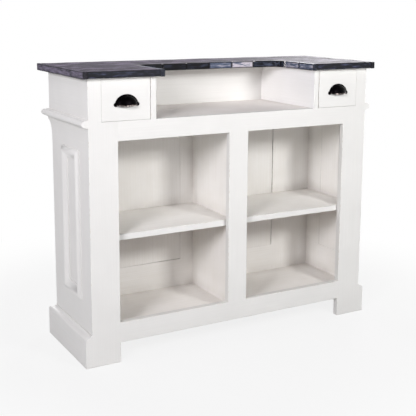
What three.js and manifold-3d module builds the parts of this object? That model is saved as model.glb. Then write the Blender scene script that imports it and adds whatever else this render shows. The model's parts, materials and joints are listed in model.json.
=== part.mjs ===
// A bar counter: a painted frame-and-panel case, open on the server's side, with four shelf bays, a
// recess between two small drawers, and a dark wooden top that is cut out in a U over the recess.
// Millimetres, +Z up. The open side faces -Y. The origin is on the floor under the middle of the top.
import * as THREE from "three";
import { mergeVertices } from "three/addons/utils/BufferGeometryUtils.js";
import Module from "manifold-3d";

const wasm = await Module();
wasm.setup();

// Overall size, and how far the top stands out past the case
const WIDTH = 1300;
const DEPTH = 500;
const HEIGHT = 1100;
const TOP_THICK = 27;
const END_OVERHANG = 25;
const FRONT_OVERHANG = 22;

// U-shaped cut-out in the top, with its edging strip
const NOTCH_WIDTH = 664;
const NOTCH_DEPTH = 260;
const NOTCH_RADIUS = 50;
const EDGING = 18;

// Depths, measured back from the front plane of the face frame
const BOARD = 25;
const LOWER_DEPTH = 388;
const UPPER_DEPTH = 415;
const REAR_FRAME = 28;
const REAR_BOARD = 20;

// Face frame of the open side
const STILE = 114;
const STILE_AT_DRAWER = 51;
const CENTRE_STILE = 85;
const TOP_RAIL = 73;
const BOTTOM_RAIL = 78;
const TOE_HEIGHT = 78;

// Drawers and the boards round them
const DRAWER_WIDTH = 195;
const DRAWER_HEIGHT = 156;
const DRAWER_GAP = 1.5;
const DRAWER_BOX_HEIGHT = 130;
const DRAWER_FRONT = 22;
const DRAWER_SIDE = 12;
const DRAWER_BOTTOM = 6;
const BOTTOM_RAISE = 11;
const BACK_CLEARANCE = 2;
const SLIDE_CLEARANCE = 0.5;
const DIVIDER = 22;
const GUIDE_HEIGHT = 26;

// Boards inside the case
const DECK = 20;
const SHELF = 24;
const SHELF_TOP = 490;
const SHELF_SETBACK = 28;
const FLOOR = 20;
const FLOOR_TOP = 126;
const PARTITION = 22;
const CLEAT = 18;
const CLEAT_RUN = [90, 340];

// Framed panels of the ends and the far side
const FRAME_FOOT = 60;
const PANEL_FOOT = 245;
const PANEL_HEAD = 796;
const END_PANEL = [105, 262];
const REAR_PANEL = [72, 402];
const PANEL_GAP = 2;
const PANEL_INSET = 1;
const PANEL_SINK = 3;
const TONGUE = 8;

// Mouldings
const PANEL_MOULDING = 45;
const PANEL_MOULDING_RISE = 13;
const PANEL_MOULDING_LAP = 10;
const PANEL_MOULDING_CREST = 19;
const PANEL_MOULDING_EDGE = 3;
const PANEL_MOULDING_BEND = 9;
const ASTRAGAL_HEIGHT = 30;
const ASTRAGAL_REACH = 25;
const ASTRAGAL_FILLET = 3;
const ASTRAGAL_QUIRK = 4;
const COVE_FOOT = 827;
const COVE_REACH = 43;
const COVE_LIP = 12;
const COVE_BEND = { out: 4, down: 20 };
const COVE_CHAMFER = { out: 7, down: 5 };
const PLINTH = 25;
const PLINTH_HEIGHT = 126;
const PLINTH_OGEE = 20;
const PLINTH_TOP = 3;
const OGEE_BEND = 2;
const MITRE_GAP = 0.15;

// Joinery
const TENON_LENGTH = 30;
const TENON_THICK = 9;
const TENON_SHOULDER = 10;
const TENON_ROOT = 1;
const HOUSING = 6;
const FIT = 0.25;

// Cup pull
const PULL_WIDTH = 100;
const PULL_RISE = 42;
const PULL_REACH = 22;
const PULL_RIM_HEIGHT = 56.5;
const PULL_WALL = 2;
const PULL_FLANGE = 2.5;
const FLANGE_WIDTH = 92;
const CUP_WIDTH = 84;
const CUP_RISE = 37;
const EAR_RADIUS = 7.5;
const EAR_HEIGHT = 3;

// Straight steps in each curve
const ROUND_STEPS = 10;
const MOULDING_STEPS = 6;
const FLANGE_STEPS = 32;
const BOWL_STEPS = [40, 20];

// Heights and half widths that follow from the sizes above
const caseTop = HEIGHT - TOP_THICK;
const deckTop = caseTop - DRAWER_HEIGHT;
const deckFoot = deckTop - DECK;
const railFoot = deckTop - TOP_RAIL;
const toeRailTop = TOE_HEIGHT + BOTTOM_RAIL;
const caseHalf = WIDTH / 2 - END_OVERHANG;
const roomHalf = caseHalf - BOARD;
const stileInner = caseHalf - STILE;
const drawerOuter = caseHalf - STILE_AT_DRAWER;
const drawerInner = drawerOuter - DRAWER_WIDTH;
const drawerMiddle = (drawerOuter + drawerInner) / 2;
const dividerInner = drawerInner - DIVIDER;
const rearInner = LOWER_DEPTH - REAR_FRAME;
const upperInner = UPPER_DEPTH - REAR_BOARD;
const notchHalf = NOTCH_WIDTH / 2;
const notchBack = NOTCH_DEPTH - FRONT_OVERHANG;
const topRear = DEPTH - FRONT_OVERHANG;

const finishes = {
  paint: { color: 0xf0eeeb, roughness: 0.45, metalness: 0 },
  stain: { color: 0x2b2c3a, roughness: 0.35, metalness: 0 },
  iron: { color: 0x1b1a1c, roughness: 0.5, metalness: 0.6 },
  bare: { color: 0xd8bd92, roughness: 0.65, metalness: 0 },
};

// A piece's solid from a closed geometry. Sections that run the other way round are turned.
function solidOf(geometry) {
  const bare = new THREE.BufferGeometry();
  bare.setAttribute("position", geometry.getAttribute("position"));
  bare.setIndex(geometry.index);
  const merged = mergeVertices(bare, 1e-4);
  const triVerts = new Uint32Array(merged.index.array);
  const vertProperties = merged.getAttribute("position").array;
  const make = () => new wasm.Manifold(new wasm.Mesh({ numProp: 3, vertProperties, triVerts }));
  const solid = make();
  if (solid.volume() > 0) return solid;
  for (let i = 0; i < triVerts.length; i += 3) {
    [triVerts[i], triVerts[i + 1]] = [triVerts[i + 1], triVerts[i]];
  }
  return make();
}

function meshOf(name, solid, finish) {
  const { vertProperties, triVerts } = solid.getMesh();
  const shared = new THREE.BufferGeometry();
  shared.setAttribute("position", new THREE.BufferAttribute(new Float32Array(vertProperties), 3));
  shared.setIndex(new THREE.BufferAttribute(triVerts, 1));
  const geometry = shared.toNonIndexed();
  geometry.computeVertexNormals();
  const mesh = new THREE.Mesh(geometry, new THREE.MeshStandardMaterial(finishes[finish]));
  mesh.name = name;
  return mesh;
}

// A straight board between two values on each axis.
function board([x0, x1], [y0, y1], [z0, z1]) {
  const box = new THREE.BoxGeometry(x1 - x0, y1 - y0, z1 - z0);
  return solidOf(box.translate((x0 + x1) / 2, (y0 + y1) / 2, (z0 + z1) / 2));
}

const grown = (spans) => spans.map(([low, high]) => [low - FIT, high + FIT]);
const mirrored = (hand, [near, far]) => (hand > 0 ? [near, far] : [-far, -near]);

// The pieces of one group by name, and the joints that let one into another.
class Assembly {
  constructor() {
    this.group = new THREE.Group();
    this.pieces = new Map();
  }

  add(name, solid, finish) {
    this.pieces.set(name, { solid, finish });
  }

  cut(holder, tool) {
    const piece = this.pieces.get(holder);
    piece.solid = piece.solid.subtract(tool);
  }

  // A housing for the end or the edge of a board.
  house(spans, ...holders) {
    for (const holder of holders) this.cut(holder, board(...grown(spans)));
  }

  // A tenon or a tongue on one piece, with its mortise or groove in the others.
  letIn(guest, spans, ...holders) {
    const piece = this.pieces.get(guest);
    piece.solid = piece.solid.add(board(...spans));
    this.house(spans, ...holders);
  }

  finish() {
    for (const [name, { solid, finish }] of this.pieces) this.group.add(meshOf(name, solid, finish));
    return this.group;
  }
}

// A skin through one profile set at several places. Open runs are closed by flat ends.
function sweep(profile, places, closed) {
  const count = profile.length;
  const points = places.flatMap((place) => profile.map(({ x, y }) => place(x, y)));
  const index = [];
  const runs = closed ? places.length : places.length - 1;
  for (let run = 0; run < runs; run += 1) {
    const from = run * count;
    const to = ((run + 1) % places.length) * count;
    for (let i = 0; i < count; i += 1) {
      const next = (i + 1) % count;
      index.push(from + i, to + i, to + next, from + i, to + next, from + next);
    }
  }
  if (!closed) {
    const last = runs * count;
    for (const [a, b, c] of THREE.ShapeUtils.triangulateShape(profile, [])) {
      index.push(a, b, c, last + a, last + c, last + b);
    }
  }
  const geometry = new THREE.BufferGeometry().setFromPoints(points);
  geometry.setIndex(index);
  return solidOf(geometry);
}

const outline = (shape, divisions) => {
  const points = shape.getPoints(divisions);
  if (points[0].equals(points.at(-1))) points.pop();
  return points;
};

// Half-round between two small fillets: how far it stands out, and its height over its foot.
function astragalProfile() {
  const radius = ASTRAGAL_HEIGHT / 2 - ASTRAGAL_FILLET;
  const centre = ASTRAGAL_REACH - radius;
  const fillet = centre - ASTRAGAL_QUIRK;
  const shape = new THREE.Shape();
  shape.moveTo(0, 0);
  shape.lineTo(fillet, 0);
  shape.lineTo(fillet, ASTRAGAL_FILLET);
  shape.absarc(centre, ASTRAGAL_HEIGHT / 2, radius, -Math.PI / 2, Math.PI / 2, false);
  shape.lineTo(fillet, ASTRAGAL_HEIGHT - ASTRAGAL_FILLET);
  shape.lineTo(fillet, ASTRAGAL_HEIGHT);
  shape.lineTo(0, ASTRAGAL_HEIGHT);
  return outline(shape, ROUND_STEPS);
}

// Flat board whose top rolls over and hollows back to the case.
function plinthProfile() {
  const flatTop = PLINTH_HEIGHT - PLINTH_OGEE;
  const turn = PLINTH / 2;
  const turnHeight = flatTop + PLINTH_OGEE / 2;
  const shape = new THREE.Shape();
  shape.moveTo(0, 0);
  shape.lineTo(PLINTH, 0);
  shape.lineTo(PLINTH, flatTop);
  shape.quadraticCurveTo(PLINTH, turnHeight - OGEE_BEND, turn, turnHeight);
  shape.quadraticCurveTo(PLINTH_TOP, turnHeight + OGEE_BEND, PLINTH_TOP, PLINTH_HEIGHT);
  shape.lineTo(0, PLINTH_HEIGHT);
  return outline(shape, MOULDING_STEPS);
}

// Raised moulding that laps over the frame and the sunk panel: inward from its outer edge, and proud.
function panelMouldingProfile() {
  const step = PANEL_MOULDING_LAP + 2 * FIT;
  const crest = PANEL_MOULDING_CREST;
  const rise = PANEL_MOULDING_RISE;
  const bend = PANEL_MOULDING_BEND;
  const edge = PANEL_MOULDING_EDGE;
  const shape = new THREE.Shape();
  shape.moveTo(0, 0);
  shape.lineTo(step, 0);
  shape.lineTo(step, -PANEL_SINK);
  shape.lineTo(PANEL_MOULDING, -PANEL_SINK);
  shape.lineTo(PANEL_MOULDING, 0);
  shape.bezierCurveTo(PANEL_MOULDING - bend, 0, crest + bend, rise, crest, rise);
  shape.bezierCurveTo(crest - bend, rise, crest - bend, edge, 0, edge);
  return outline(shape, MOULDING_STEPS);
}

// Upright rail whose outer face hollows out to a lip under the half-round: depth and height.
function corniceProfile() {
  const lip = LOWER_DEPTH + COVE_REACH;
  const shape = new THREE.Shape();
  shape.moveTo(rearInner, PANEL_HEAD);
  shape.lineTo(LOWER_DEPTH, PANEL_HEAD);
  shape.lineTo(LOWER_DEPTH, COVE_FOOT);
  const bend = [LOWER_DEPTH + COVE_BEND.out, deckFoot - COVE_BEND.down];
  shape.quadraticCurveTo(...bend, lip, deckFoot - COVE_LIP);
  shape.lineTo(lip, deckFoot - COVE_CHAMFER.down);
  shape.lineTo(lip - COVE_CHAMFER.out, deckFoot);
  shape.lineTo(rearInner, deckFoot);
  return outline(shape, ROUND_STEPS);
}

// A mitred frame of panel moulding round a rectangle. The place function sets it on its face.
function mouldingFrame([a0, a1], [b0, b1], place) {
  const corners = [
    (inward, proud) => place(a0 + inward, b0 + inward, proud),
    (inward, proud) => place(a1 - inward, b0 + inward, proud),
    (inward, proud) => place(a1 - inward, b1 - inward, proud),
    (inward, proud) => place(a0 + inward, b1 - inward, proud),
  ];
  return sweep(panelMouldingProfile(), corners, true);
}

const lapped = ([low, high]) => [low - PANEL_MOULDING_LAP, high + PANEL_MOULDING_LAP];
const inset = ([low, high], by) => [low + by, high - by];

// Two runs along the ends, mitred at the rear corners to one run along the far side.
function skirting(assembly, label, profile, foot, rear) {
  for (const [word, hand] of [["left", -1], ["right", 1]]) {
    const ends = [
      (out, up) => new THREE.Vector3(hand * (caseHalf + out), 0, foot + up),
      (out, up) => new THREE.Vector3(hand * (caseHalf + out), rear + out - MITRE_GAP, foot + up),
    ];
    assembly.add(`${word}_${label}`, sweep(profile, ends, false), "paint");
  }
  const ends = [-1, 1].map((hand) => (out, up) => {
    return new THREE.Vector3(hand * (caseHalf + out - MITRE_GAP), rear + out, foot + up);
  });
  assembly.add(`rear_${label}`, sweep(profile, ends, false), "paint");
}

function addTop(assembly) {
  const z = [caseTop, HEIGHT];
  const edgingOuter = notchHalf + EDGING;
  const edgingBack = notchBack + EDGING;
  assembly.add("countertop_rear", board([-WIDTH / 2, WIDTH / 2], [edgingBack, topRear], z), "stain");
  for (const [word, hand] of [["left", -1], ["right", 1]]) {
    const x = mirrored(hand, [edgingOuter, WIDTH / 2]);
    assembly.add(`countertop_${word}_arm`, board(x, [-FRONT_OVERHANG, edgingBack], z), "stain");
  }
  const strip = new THREE.Shape();
  const round = notchHalf - NOTCH_RADIUS;
  const roundY = notchBack - NOTCH_RADIUS;
  strip.moveTo(-edgingOuter, -FRONT_OVERHANG);
  strip.lineTo(-notchHalf, -FRONT_OVERHANG);
  strip.absarc(-round, roundY, NOTCH_RADIUS, Math.PI, Math.PI / 2, true);
  strip.absarc(round, roundY, NOTCH_RADIUS, Math.PI / 2, 0, true);
  strip.lineTo(notchHalf, -FRONT_OVERHANG);
  strip.lineTo(edgingOuter, -FRONT_OVERHANG);
  strip.lineTo(edgingOuter, edgingBack);
  strip.lineTo(-edgingOuter, edgingBack);
  const settings = { depth: TOP_THICK, bevelEnabled: false, curveSegments: ROUND_STEPS };
  const edging = new THREE.ExtrudeGeometry(strip, settings).translate(0, 0, caseTop);
  assembly.add("notch_edging", solidOf(edging), "stain");
}

function addFaceFrame(assembly) {
  const y = [0, BOARD];
  const tenonY = [(BOARD - TENON_THICK) / 2, (BOARD + TENON_THICK) / 2];
  for (const [word, hand] of [["left", -1], ["right", 1]]) {
    const foot = board(mirrored(hand, [stileInner, caseHalf]), y, [0, deckTop]);
    const head = board(mirrored(hand, [drawerOuter, caseHalf]), y, [deckTop - BOARD, caseTop]);
    assembly.add(`${word}_stile`, foot.add(head), "paint");
  }
  const rails = { top_rail: [railFoot, deckTop], bottom_rail: [TOE_HEIGHT, toeRailTop] };
  for (const [name, z] of Object.entries(rails)) {
    assembly.add(name, board([-stileInner, stileInner], y, z), "paint");
    const tenonZ = inset(z, TENON_SHOULDER);
    for (const [word, hand] of [["left", -1], ["right", 1]]) {
      const tenonX = mirrored(hand, [stileInner - TENON_ROOT, stileInner + TENON_LENGTH]);
      assembly.letIn(name, [tenonX, tenonY, tenonZ], `${word}_stile`);
    }
  }
  const half = CENTRE_STILE / 2;
  const tenonX = inset([-half, half], TENON_SHOULDER);
  assembly.add("centre_stile", board([-half, half], y, [toeRailTop, railFoot]), "paint");
  const headZ = [railFoot - TENON_ROOT, railFoot + TENON_LENGTH];
  const footZ = [toeRailTop - TENON_LENGTH, toeRailTop + TENON_ROOT];
  assembly.letIn("centre_stile", [tenonX, tenonY, headZ], "top_rail");
  assembly.letIn("centre_stile", [tenonX, tenonY, footZ], "bottom_rail");
}

function addEnd(assembly, word, hand) {
  const name = (piece) => `${word}_end_${piece}`;
  const x = mirrored(hand, [roomHalf, caseHalf]);
  const middle = roomHalf + BOARD / 2;
  const tenonX = mirrored(hand, [middle - TENON_THICK / 2, middle + TENON_THICK / 2]);
  const [panelFront, panelRear] = END_PANEL;
  const lower = board(x, [BOARD, rearInner], [PANEL_HEAD, deckTop]);
  const upper = board(x, [BOARD, upperInner], [deckFoot, caseTop]);
  assembly.add(name("upper_board"), lower.add(upper), "paint");
  assembly.add(name("bottom_rail"), board(x, END_PANEL, [FRAME_FOOT, PANEL_FOOT]), "paint");

  const stiles = { front_stile: [BOARD, panelFront], rear_stile: [panelRear, rearInner] };
  const railZ = inset([FRAME_FOOT, PANEL_FOOT], TENON_SHOULDER);
  const headZ = [PANEL_HEAD - TENON_ROOT, PANEL_HEAD + TENON_LENGTH];
  const railEnds = {
    front_stile: [panelFront - TENON_LENGTH, panelFront + TENON_ROOT],
    rear_stile: [panelRear - TENON_ROOT, panelRear + TENON_LENGTH],
  };
  for (const [stile, y] of Object.entries(stiles)) {
    assembly.add(name(stile), board(x, y, [0, PANEL_HEAD]), "paint");
    assembly.letIn(name(stile), [tenonX, inset(y, TENON_SHOULDER), headZ], name("upper_board"));
    assembly.letIn(name("bottom_rail"), [tenonX, railEnds[stile], railZ], name(stile));
  }

  const panelX = mirrored(hand, [roomHalf + PANEL_INSET, caseHalf - PANEL_SINK]);
  const panelZ = [PANEL_FOOT, PANEL_HEAD];
  const tongueX = mirrored(hand, [middle - TONGUE / 2, middle + TONGUE / 2]);
  const panel = board(panelX, inset(END_PANEL, PANEL_GAP), inset(panelZ, PANEL_GAP));
  assembly.add(name("panel"), panel, "paint");
  const holders = ["front_stile", "rear_stile", "bottom_rail", "upper_board"].map(name);
  const tongue = [tongueX, inset(END_PANEL, -TONGUE), inset(panelZ, -TONGUE)];
  assembly.letIn(name("panel"), tongue, ...holders);

  const onFace = (y, z, proud) => new THREE.Vector3(hand * (caseHalf + proud), y, z);
  const frame = mouldingFrame(lapped(END_PANEL), lapped(panelZ), onFace);
  assembly.add(name("panel_moulding"), frame, "paint");
}

function addFarSide(assembly) {
  const y = [rearInner, LOWER_DEPTH];
  const middle = (rearInner + LOWER_DEPTH) / 2;
  const tenonY = [middle - TENON_THICK / 2, middle + TENON_THICK / 2];
  const tongueY = [middle - TONGUE / 2, middle + TONGUE / 2];
  const [panelNear, panelFar] = REAR_PANEL;
  const panelZ = [PANEL_FOOT, PANEL_HEAD];
  const railZ = inset([FRAME_FOOT, PANEL_FOOT], TENON_SHOULDER);
  const headZ = [PANEL_HEAD - TENON_ROOT, PANEL_HEAD + TENON_LENGTH];

  const ends = [-caseHalf, caseHalf].map((x) => (depth, up) => new THREE.Vector3(x, depth, up));
  assembly.add("rear_cornice_rail", sweep(corniceProfile(), ends, false), "paint");
  const upperBoard = board([-caseHalf, caseHalf], [upperInner, UPPER_DEPTH], [deckFoot, caseTop]);
  assembly.add("rear_upper_board", upperBoard, "paint");
  const bottomRail = board([-panelFar, panelFar], y, [FRAME_FOOT, PANEL_FOOT]);
  assembly.add("rear_bottom_rail", bottomRail, "paint");

  const centreX = [-panelNear, panelNear];
  assembly.add("rear_centre_stile", board(centreX, y, panelZ), "paint");
  const centreTenon = inset(centreX, TENON_SHOULDER);
  assembly.letIn("rear_centre_stile", [centreTenon, tenonY, headZ], "rear_cornice_rail");
  const footTenon = [centreTenon, tenonY, [PANEL_FOOT - TENON_LENGTH, PANEL_FOOT + TENON_ROOT]];
  assembly.letIn("rear_centre_stile", footTenon, "rear_bottom_rail");

  for (const [word, hand] of [["left", -1], ["right", 1]]) {
    const stile = `rear_${word}_stile`;
    const stileX = mirrored(hand, [panelFar, caseHalf]);
    assembly.add(stile, board(stileX, y, [0, PANEL_HEAD]), "paint");
    assembly.letIn(stile, [inset(stileX, TENON_SHOULDER), tenonY, headZ], "rear_cornice_rail");
    const railEnd = mirrored(hand, [panelFar - TENON_ROOT, panelFar + TENON_LENGTH]);
    assembly.letIn("rear_bottom_rail", [railEnd, tenonY, railZ], stile);

    const panel = `rear_${word}_panel`;
    const panelX = mirrored(hand, REAR_PANEL);
    const panelY = [rearInner + PANEL_INSET, LOWER_DEPTH - PANEL_SINK];
    assembly.add(panel, board(inset(panelX, PANEL_GAP), panelY, inset(panelZ, PANEL_GAP)), "paint");
    const tongue = [inset(panelX, -TONGUE), tongueY, inset(panelZ, -TONGUE)];
    assembly.letIn(panel, tongue, stile, "rear_centre_stile", "rear_bottom_rail", "rear_cornice_rail");

    const onFace = (x, z, proud) => new THREE.Vector3(x, LOWER_DEPTH + proud, z);
    assembly.add(`${panel}_moulding`, mouldingFrame(lapped(panelX), lapped(panelZ), onFace), "paint");
  }
}

function addInside(assembly) {
  const room = [-roomHalf - HOUSING, roomHalf + HOUSING];
  const floor = [room, [BOARD, rearInner], [FLOOR_TOP - FLOOR, FLOOR_TOP]];
  const deck = [room, [BOARD, upperInner], [deckFoot, deckTop]];
  assembly.add("floor_board", board(...floor), "paint");
  assembly.add("deck_board", board(...deck), "paint");
  const partitionX = [-PARTITION / 2, PARTITION / 2];
  assembly.add("partition", board(partitionX, [BOARD, rearInner], [FLOOR_TOP, deckFoot]), "paint");

  for (const [word, hand] of [["left", -1], ["right", 1]]) {
    const end = (piece) => `${word}_end_${piece}`;
    const inner = PARTITION / 2 - HOUSING;
    const shelfZ = [SHELF_TOP - SHELF, SHELF_TOP];
    const shelf = [mirrored(hand, [inner, roomHalf]), [SHELF_SETBACK, rearInner], shelfZ];
    assembly.add(`${word}_shelf`, board(...shelf), "paint");
    assembly.house(shelf, "partition");
    const cleatX = mirrored(hand, [roomHalf - CLEAT, roomHalf]);
    const cleatZ = [SHELF_TOP - SHELF - CLEAT, SHELF_TOP - SHELF];
    assembly.add(`${word}_shelf_cleat`, board(cleatX, CLEAT_RUN, cleatZ), "paint");

    const dividerX = mirrored(hand, [dividerInner, drawerInner]);
    const divider = board(dividerX, [0, upperInner], [deckTop, caseTop]);
    assembly.add(`${word}_drawer_divider`, divider, "paint");
    const guideX = mirrored(hand, [drawerOuter, roomHalf]);
    const guideZ = [deckTop, deckTop + GUIDE_HEIGHT];
    assembly.add(`${word}_drawer_guide`, board(guideX, [BOARD, upperInner], guideZ), "bare");

    assembly.house(floor, end("front_stile"), end("bottom_rail"), end("rear_stile"));
    assembly.house(deck, end("upper_board"));
  }
}

// Cup of thin iron, open below, on a flat flange with a screw ear at each lower corner.
function cupPull() {
  const bowl = (width, rise, reach) => {
    const ball = new THREE.SphereGeometry(1, ...BOWL_STEPS);
    return solidOf(ball.rotateX(Math.PI / 2).scale(width / 2, reach, rise));
  };
  const room = PULL_WIDTH;
  const above = board([-room, room], [-room, 0], [0, room]);
  const hollow = bowl(CUP_WIDTH - 2 * PULL_WALL, CUP_RISE - PULL_WALL, PULL_REACH - PULL_WALL);
  const cup = bowl(CUP_WIDTH, CUP_RISE, PULL_REACH).intersect(above);

  const flange = new THREE.Shape();
  flange.absellipse(0, 0, FLANGE_WIDTH / 2, PULL_RISE, 0, Math.PI, false);
  const plate = { depth: PULL_FLANGE, bevelEnabled: false, curveSegments: FLANGE_STEPS };
  const stand = (shape) => solidOf(new THREE.ExtrudeGeometry(shape, plate).rotateX(Math.PI / 2));
  let pull = cup.add(stand(flange));
  for (const hand of [-1, 1]) {
    const ear = new THREE.Shape();
    ear.absarc(hand * (PULL_WIDTH / 2 - EAR_RADIUS), EAR_HEIGHT, EAR_RADIUS, 0, 2 * Math.PI, false);
    pull = pull.add(stand(ear));
  }
  return pull.subtract(hollow);
}

// One drawer, from the middle of its front: its box runs on the deck and its front fills the opening.
function drawer(word) {
  const made = new Assembly();
  const name = (piece) => `${word}_drawer_${piece}`;
  const half = DRAWER_WIDTH / 2 - DRAWER_GAP;
  const inner = half - DRAWER_SIDE;
  const rear = upperInner - BACK_CLEARANCE;
  const lap = DRAWER_FRONT / 2;
  const boxZ = [SLIDE_CLEARANCE, SLIDE_CLEARANCE + DRAWER_BOX_HEIGHT];
  const bottomTop = BOTTOM_RAISE + DRAWER_BOTTOM;
  const front = board([-half, half], [0, DRAWER_FRONT], inset([0, DRAWER_HEIGHT], DRAWER_GAP));
  const bottom = [inset([-inner, inner], -HOUSING), [lap, rear], [BOTTOM_RAISE, bottomTop]];
  made.add(name("front"), front, "paint");
  for (const [edge, hand] of [["left_side", -1], ["right_side", 1]]) {
    const side = [mirrored(hand, [inner, half]), [lap, rear], boxZ];
    made.add(name(edge), board(...side), "bare");
    made.house(side, name("front"));
  }
  const back = board([-inner, inner], [rear - DRAWER_SIDE, rear], [bottomTop, boxZ[1]]);
  made.add(name("back"), back, "bare");
  made.add(name("bottom"), board(...bottom), "bare");
  made.house(bottom, name("front"), name("left_side"), name("right_side"));
  const pull = meshOf(name("cup_pull"), cupPull(), "iron");
  pull.position.z = PULL_RIM_HEIGHT;
  return made.finish().add(pull);
}

const counterCase = new Assembly();
addTop(counterCase);
addFaceFrame(counterCase);
addEnd(counterCase, "left", -1);
addEnd(counterCase, "right", 1);
addFarSide(counterCase);
addInside(counterCase);
skirting(counterCase, "astragal", astragalProfile(), deckFoot, UPPER_DEPTH);
skirting(counterCase, "plinth", plinthProfile(), 0, LOWER_DEPTH);

const counter = counterCase.finish();
for (const [word, hand] of [["left", -1], ["right", 1]]) {
  const box = drawer(word);
  box.position.set(hand * drawerMiddle, 0, deckTop);
  counter.add(box);
}
counter.position.y = FRONT_OVERHANG - DEPTH / 2;

const barCounter = new THREE.Group();
barCounter.add(counter);

export default barCounter;
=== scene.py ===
import bmesh
import bpy
import json
import math
from mathutils import Matrix, Vector
from mathutils.bvhtree import BVHTree


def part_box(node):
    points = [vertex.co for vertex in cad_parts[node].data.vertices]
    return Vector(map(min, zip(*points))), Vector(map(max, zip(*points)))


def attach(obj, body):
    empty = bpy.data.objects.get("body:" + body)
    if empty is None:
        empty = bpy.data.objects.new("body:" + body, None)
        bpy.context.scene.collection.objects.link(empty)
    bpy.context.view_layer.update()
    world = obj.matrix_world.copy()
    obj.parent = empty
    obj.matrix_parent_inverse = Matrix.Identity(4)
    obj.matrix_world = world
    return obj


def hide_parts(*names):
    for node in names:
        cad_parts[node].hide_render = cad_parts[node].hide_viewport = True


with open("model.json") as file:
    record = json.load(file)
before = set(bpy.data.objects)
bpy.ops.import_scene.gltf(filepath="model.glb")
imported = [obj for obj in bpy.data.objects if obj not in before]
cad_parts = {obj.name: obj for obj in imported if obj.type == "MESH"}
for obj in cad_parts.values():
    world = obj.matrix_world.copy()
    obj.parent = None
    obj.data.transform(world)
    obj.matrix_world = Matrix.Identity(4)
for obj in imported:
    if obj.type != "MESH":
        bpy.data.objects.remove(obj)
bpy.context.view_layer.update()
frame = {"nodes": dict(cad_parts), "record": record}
nodes = frame["nodes"]
scene = bpy.context.scene
scene.view_settings.view_transform = "Standard"
mm = 0.001
caseBody = "counter_case"
bodyOf = {node: body for body, members in frame["record"]["behaviour"]["bodies"].items() for node in members}
slotOf = {part["node"]: part["material_slot"] for part in frame["record"]["subparts"]}
print("frame loaded:", len(nodes), "nodes")


# sRGB hex to the linear colour that the shaders take
def linear(hexColour):
    shares = [int(hexColour[i:i + 2], 16) / 255 for i in (1, 3, 5)]
    return [c / 12.92 if c <= 0.04045 else ((c + 0.055) / 1.055) ** 2.4 for c in shares] + [1.0]


# one node with its settings, its values and its links; Map Range has its from and to ranges at 1 to 4, Mix
# has its two colours at 6 and 7, and Random Value has its least and most at 2 and 3
def add(tree, kind, inputs=None, **settings):
    made = tree.nodes.new(kind)
    for name, value in settings.items():
        setattr(made, name, value)
    for socket, value in (inputs or {}).items():
        if isinstance(value, bpy.types.NodeSocket):
            tree.links.new(value, made.inputs[socket])
        else:
            made.inputs[socket].default_value = value
    return made


def blankMaterial(name):
    material = bpy.data.materials.new(name)
    material.use_nodes = True
    material.node_tree.nodes.clear()
    return material, material.node_tree


# scale for a pattern that is so many mm long along one axis and so many mm wide across it
def stretched(axis, alongMm, acrossMm):
    return [1000 / (alongMm if i == axis else acrossMm) for i in range(3)]


# the last nodes of a finish: its relief, its shader and the output
def finishSurface(tree, settings, colour, gloss, height, **plain):
    bump = add(tree, "ShaderNodeBump", {
        "Strength": settings["bumpStrength"], "Distance": settings["bumpMm"] * mm, "Height": height,
    }).outputs["Normal"]
    shader = add(tree, "ShaderNodeBsdfPrincipled", {
        "Base Color": colour, "Roughness": gloss, "Normal": bump, **plain,
    }).outputs[0]
    add(tree, "ShaderNodeOutputMaterial", {"Surface": shader})


# Camera at the photograph's place: yaw from +Y towards +X, pitch down
cameraSet = {
    "place": (-1.6989, -2.9883, 1.3205),
    "yaw": 0.5144, "pitch": 0.1774, "roll": 0.0055,
    "lens": 72.66, "sensor": 36.0, "shiftY": -0.12,
}


def makeCamera():
    data = bpy.data.cameras.new("photoCamera")
    data.sensor_width = cameraSet["sensor"]
    data.lens = cameraSet["lens"]
    data.shift_y = cameraSet["shiftY"]
    camera = bpy.data.objects.new("photoCamera", data)
    turn = Matrix.Rotation(-cameraSet["yaw"], 4, "Z")
    tilt = Matrix.Rotation(math.pi / 2 - cameraSet["pitch"], 4, "X")
    roll = Matrix.Rotation(cameraSet["roll"], 4, "Z")
    camera.matrix_world = Matrix.Translation(cameraSet["place"]) @ turn @ tilt @ roll
    scene.collection.objects.link(camera)
    scene.camera = camera


makeCamera()
print("camera placed")


# Satin alkyd paint, brushed over planed wood: a warm white with soft brush strokes along the board,
# some cloudiness where the coat is thicker, rubbed arrises where the undercoat shows, and dust with painted
# shade in corners.
paintSet = {
    # full coat, thin coat, how far dust and painted shade reach out of inner corners in mm, and how much of
    # them there is
    # the sides are copies of the one white paint, made lighter or darker by how light reaches them: painted
    # light and shade
    "coats": {
        "outside": ("#E9E8E5", "#E4E3E0", 10, 0.2),
        "inside": ("#FCFAF7", "#F3F0EB", 60, 0.36),
        "recess": ("#FEFDFC", "#F8F7F5", 30, 0.06),  # under the top, with its back and its deck
        "recessBack": ("#ECEBE8", "#E6E5E2", 30, 0.06),
        "deck": ("#F8F3F0", "#EFE9E5", 90, 0.3),
        "underside": ("#CCBDB3", "#BFAFA4", 60, 0.3),  # one thin coat under the shelves, so the wood shows
    },
    # the second colour here is the tint of dust and painted shade in inner corners
    "rubbed": "#CFC6B8", "dustAndShade": "#8E7F74",
    "strokeLengthMm": 260, "strokeWidthMm": 4,  # real strokes are 1 to 2 mm wide, drawn coarser to show
    "cloudMm": 170, "rubMm": 14, "roughness": (0.42, 0.54), "bumpMm": 0.06, "bumpStrength": 0.5, "ior": 1.5,
}


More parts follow.
